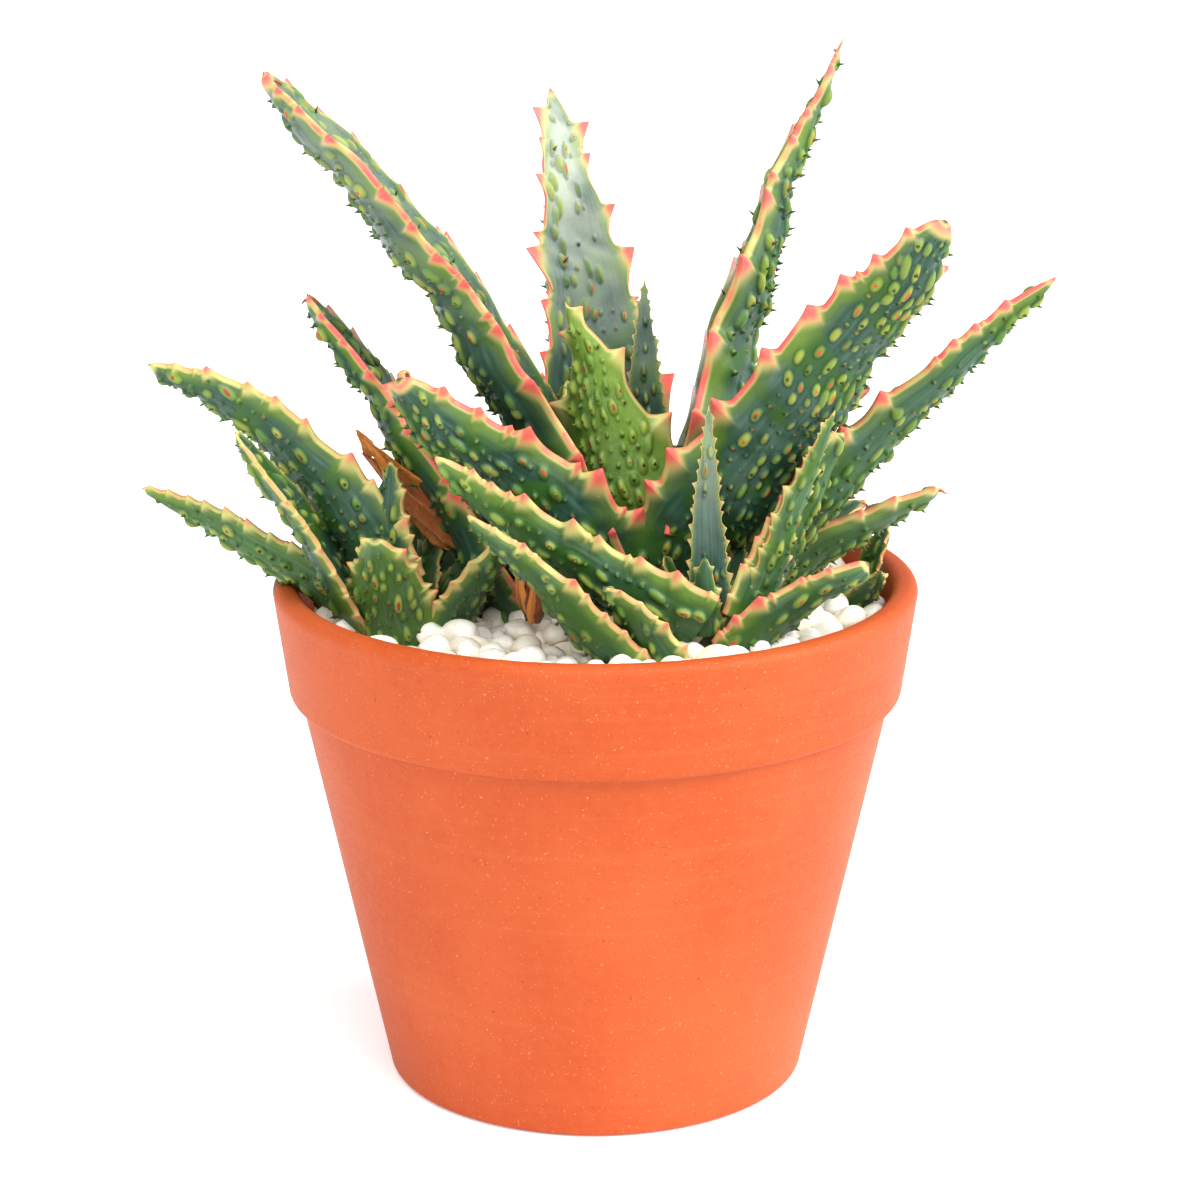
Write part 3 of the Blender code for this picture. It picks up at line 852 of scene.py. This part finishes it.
# a pebble is a ball stretched, dented by flat facets and rounded again
def pebbleForm(ball, rng):
    form = ball.copy()
    for _ in range(7):
        axis = unit(rng.normal(size=3))
        level = form @ axis
        over = np.clip(level - rng.uniform(0.62, 0.86), 0, None)
        form = form - (over * 0.7)[:, None] * axis
    form = form * (1 + 0.05 * np.sin(3 * (ball @ unit(rng.normal(size=3))) + rng.uniform(0, 6)))[:, None]
    stretch = (rng.uniform(1.08, 1.5), rng.uniform(0.95, 1.15), rng.uniform(0.78, 1.0))
    tilt = turnAbout(1, 2, rng.uniform(-0.5, 0.5))
    return form * stretch @ tilt @ turnAbout(0, 1, rng.uniform(0, 6.3))


def makePebbles():
    spots, radius, rng = settlePebbles()
    ball, ballFaces = ballMesh(3)
    groups = [[], [], []]
    for index in range(len(spots)):
        placed = pebbleForm(ball, rng) * radius[index] * 1.04 + spots[index]
        groups[index % 3].append((placed * mm, rng.random()))
    for number, group in enumerate(groups):
        points = np.vstack([placed for placed, _ in group])
        tint = np.concatenate([np.full(len(ball), value) for _, value in group])
        faces = np.vstack([ballFaces + k * len(ball) for k in range(len(group))]).tolist()
        name = "pebbles_%d" % (number + 1)
        addPiece(name, points, faces, stone, ["pebble_bed"], {"tint": tint})


makePebbles()
print("pebbles laid")


# a thin curled strip with a fold down its middle
def papery(row, rng, fold, tone, steps=60, columns=16):
    share, middle, ahead, side, up = bladeLine(row, steps)
    half = row[8] / 2 * np.clip(np.minimum((share + 0.2) * 3.0, (1.03 - share) * 1.8), 0.06, 1)
    even = np.linspace(-1, 1, columns)
    crease = np.abs(even) ** 0.9 * fold
    ripple = 0.02 * row[8] * np.sin(share[:, None] * 11 + even[None] * 3 + rng.uniform(0, 6))
    ripple = ripple + 0.01 * row[8] * np.sin(share[:, None] * 29 - even[None] * 6)
    sheets = []
    for thickness in (0.13, -0.13):
        rise = half[:, None] * crease[None] + ripple + thickness
        ragged = 1 + 0.05 * np.sin(share * 17 + rng.uniform(0, 6)) + 0.025 * np.sin(share * 61)
        reach = half[:, None] * ragged[:, None] * even[None]
        grid = middle[:, None] + side[:, None] * reach[..., None] * mm
        sheets.append(grid + up[:, None] * rise[..., None] * mm)
    ring = np.concatenate([sheets[0], sheets[1][:, ::-1]], 1)
    ringSize = 2 * columns
    faces = []
    for rowIndex in range(steps):
        for column in range(ringSize):
            following = (column + 1) % ringSize
            low, high = rowIndex * ringSize, (rowIndex + 1) * ringSize
            faces.append((low + column, low + following, high + following, high + column))
    faces.append(tuple(range(ringSize))[::-1])
    faces.append(tuple(steps * ringSize + k for k in range(ringSize)))
    return ring.reshape(-1, 3), faces, np.full(ringSize * (steps + 1), tone)


def joinPapery(name, parts, nodes):
    points = []
    faces = []
    tones = []
    offset = 0
    for partPoints, partFaces, partTone in parts:
        faces += [tuple(offset + k for k in face) for face in partFaces]
        points.append(partPoints)
        tones.append(partTone)
        offset += len(partPoints)
    addPiece(name, np.vstack(points), faces, dry, nodes, {"tone": np.concatenate(tones)})


# a thin curl of dried leaf, from a point, turning up off its first direction
def driedCurl(start, ahead, up, radius, turns, thick, tone, steps=40, sides=8):
    centres = []
    place = np.array(start, float)
    for step in range(steps + 1):
        centres.append(place.copy())
        angle = 2 * math.pi * turns * step / steps
        stride = 2 * math.pi * abs(turns) * radius * (1 - 0.5 * step / steps) / steps
        place = place + (ahead * math.cos(angle) + up * math.sin(angle)) * stride * mm
        place = place + np.cross(ahead, up) * 0.25 * stride * mm
    centres = np.array(centres)
    travel = unit(np.gradient(centres, axis=0))
    sideways = unit(np.cross(travel, np.cross(ahead, up)))
    other = np.cross(travel, sideways)
    points = []
    faces = []
    for step in range(steps + 1):
        size = thick * (1 - 0.75 * step / steps) * (1 + 0.18 * math.sin(step * 1.9))
        for k in range(sides):
            angle = 2 * math.pi * k / sides
            offset = sideways[step] * math.cos(angle) * 0.45 + other[step] * math.sin(angle)
            points.append(centres[step] + offset * size * mm)
    for step in range(steps):
        for k in range(sides):
            low, following = step * sides, (k + 1) % sides
            faces.append((low + k, low + following, low + sides + following, low + sides + k))
    faces.append(tuple(range(sides))[::-1])
    faces.append(tuple(steps * sides + k for k in range(sides)))
    return np.array(points), faces, np.full(len(points), tone)


tipSteps = 60
tipStart = 58    # the step where a dried tip starts

# leaf: curl radius mm, turns, half thickness mm, tone
driedTips = {
    "leaf_broad_front": (2.0, 1.15, 1.5, 0.75),
    "leaf_mid_left": (2.6, -0.35, 1.3, 0.05),
    "leaf_low_right": (4.0, -0.18, 1.4, 0.30),
    "leaf_dark_right": (1.8, 0.45, 0.9, 0.10),
    "leaf_tall_left": (3.5, -0.12, 0.9, 0.05),
}


def makeDriedTips():
    for node, (radius, turns, thick, tone) in driedTips.items():
        share, middle, ahead, side, up = bladeLine(leafRows[node], tipSteps)
        start, forward, above = middle[tipStart], ahead[tipStart], up[tipStart]
        part = driedCurl(start, forward, above, radius, turns, thick, tone)
        parts = [part]
        if node == "leaf_low_right":    # its tip ends in a thin thread
            parts.append(driedCurl(part[0][-1], forward, -above, 3.0, 0.22, 0.25, 0.0))
        joinPapery(node + "_dried_tip", parts, [node])


# the dry leaf: an outer flap, two under it and a stub
def makeDryLeaf(rng):
    main = dryRows["dry_leaf"]
    under = main[:3] + (22, 122, 6, -22, 28, 9, 38)
    fold = main[:3] + (16, 133, 10, -34, 31, 7, 100)
    stub = ("left", 11, 38, 150, 70, 0, 0, 7, 5, 60)
    flaps = [papery(main[:8] + (10, 66), rng, 0.55, 0.45), papery(under, rng, 0.6, 0.05)]
    flaps += [papery(fold, rng, 0.5, 0.2), papery(stub, rng, 0.8, 0.45, 20)]
    joinPapery("dry_leaf_sheet", flaps, ["dry_leaf"])


offshootShape = {
    "shift": (-3.5, -3.0, 0),    # mm from its foot
    "height": 5,
    "turnStep": 24,    # degrees from one strip to the next
    "lean": (15, 60),
    "bend": (60, 120),
    "sweep": (-50, 50),
    "length": (12, 18),
    "width": (2.0, 3.4),
    "tone": (-0.3, 0.9),
    "innerLean": (45, 80),    # every second strip is short and stands inside
    "innerLength": (8, 12),
    "innerTone": (-0.5, -0.2),
}


def makeOffshoot(rng):
    shape = offshootShape
    small = dryRows["withered_offshoot"]
    angle = math.radians(small[3])
    centre = np.array([math.cos(angle), math.sin(angle), 0]) * small[1] + shape["shift"]
    parts = []
    for turn in range(0, 360, shape["turnStep"]):
        lean, bend = rng.uniform(*shape["lean"]), rng.uniform(*shape["bend"])
        length, tone = rng.uniform(*shape["length"]), rng.uniform(*shape["tone"])
        if turn % (2 * shape["turnStep"]) == 0:
            lean, length = rng.uniform(*shape["innerLean"]), rng.uniform(*shape["innerLength"])
            tone = rng.uniform(*shape["innerTone"])
        out, sweep, width = rng.uniform(0, 2), rng.uniform(*shape["sweep"]), rng.uniform(*shape["width"])
        row = ("front", out, shape["height"], turn, lean, bend, sweep, length, width, 0)
        points, faces, tones = papery(row, rng, 0.9, tone, 34, 8)
        parts.append((points + centre * mm, faces, tones))
    joinPapery("withered_offshoot_curl", parts, ["withered_offshoot"])


makeDriedTips()
dryRandom = np.random.default_rng(31)    # one run of draws for both dry pieces
makeDryLeaf(dryRandom)
makeOffshoot(dryRandom)
print("dry pieces made")

# the CAD solids that stay: soil and stems
for node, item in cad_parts.items():
    if node == "soil" or node.startswith("stem_"):
        item.data.materials.clear()
        item.data.materials.append(earth if node == "soil" else stemSkin)


stageLook = {
    "floor": 0.94, "glow": 0.2, "reach": 8.0, "level": -0.0001, "world": 0.68,
    "sunSoft": 45, "key": 2.4, "fill": 1.2, "side": 3.6,
}


def makeStage():
    mesh = bpy.data.meshes.new("floor")
    reach, level = stageLook["reach"], stageLook["level"]
    corners = [(x * reach, y * reach, level) for x, y in ((-1, -1), (1, -1), (1, 1), (-1, 1))]
    mesh.from_pydata(corners, [], [(0, 1, 2, 3)])
    floor = bpy.data.objects.new("floor", mesh)
    bpy.context.scene.collection.objects.link(floor)
    material, tree, shader = newMaterial("paleFloor")
    setInput(shader, "Base Color", (stageLook["floor"],) * 3 + (1,))
    setInput(shader, "Roughness", 0.9)
    setInput(shader, "Specular IOR Level", 0.1)
    setInput(shader, "Emission Color", (1, 1, 1, 1))
    setInput(shader, "Emission Strength", stageLook["glow"])
    mesh.materials.append(material)
    world = bpy.data.worlds.new("studio")
    world.use_nodes = True
    tree = world.node_tree
    lit = tree.nodes["Background"]
    seen = tree.nodes.new("ShaderNodeBackground")
    for node, power in ((lit, stageLook["world"]), (seen, 1.0)):
        setInput(node, "Color", (1, 1, 1, 1))
        setInput(node, "Strength", power)
    path = tree.nodes.new("ShaderNodeLightPath")
    blend = tree.nodes.new("ShaderNodeMixShader")
    link(tree, path.outputs["Is Camera Ray"], blend.inputs[0])
    link(tree, lit.outputs[0], blend.inputs[1])
    link(tree, seen.outputs[0], blend.inputs[2])
    link(tree, blend.outputs[0], tree.nodes["World Output"].inputs["Surface"])
    bpy.context.scene.world = world


def addSun(name, place, power):
    data = bpy.data.lights.new(name, "SUN")
    data.angle = math.radians(stageLook["sunSoft"])
    data.energy = power
    lamp = bpy.data.objects.new(name, data)
    lamp.rotation_euler = (-Vector(place)).to_track_quat("-Z", "Y").to_euler()
    lamp.location = place
    bpy.context.scene.collection.objects.link(lamp)


cameraLook = {"place": (0.0011, -0.8106, 0.3455), "down": 15.95, "lens": 108.5, "sensor": 36}


def makeCamera():
    data = bpy.data.cameras.new("camera")
    data.lens = cameraLook["lens"]
    data.sensor_width = cameraLook["sensor"]
    camera = bpy.data.objects.new("camera", data)
    camera.location = cameraLook["place"]
    camera.rotation_euler = (math.radians(90 - cameraLook["down"]), 0, 0)
    bpy.context.scene.collection.objects.link(camera)
    bpy.context.scene.camera = camera


makeStage()
addSun("key", (0.35, -0.75, 1.5), stageLook["key"])
addSun("fill", (-0.5, -1.0, 0.9), stageLook["fill"])
addSun("side", (1.0, -0.15, 0.5), stageLook["side"])
makeCamera()
bpy.context.scene.view_settings.view_transform = "Standard"
print("stage set")
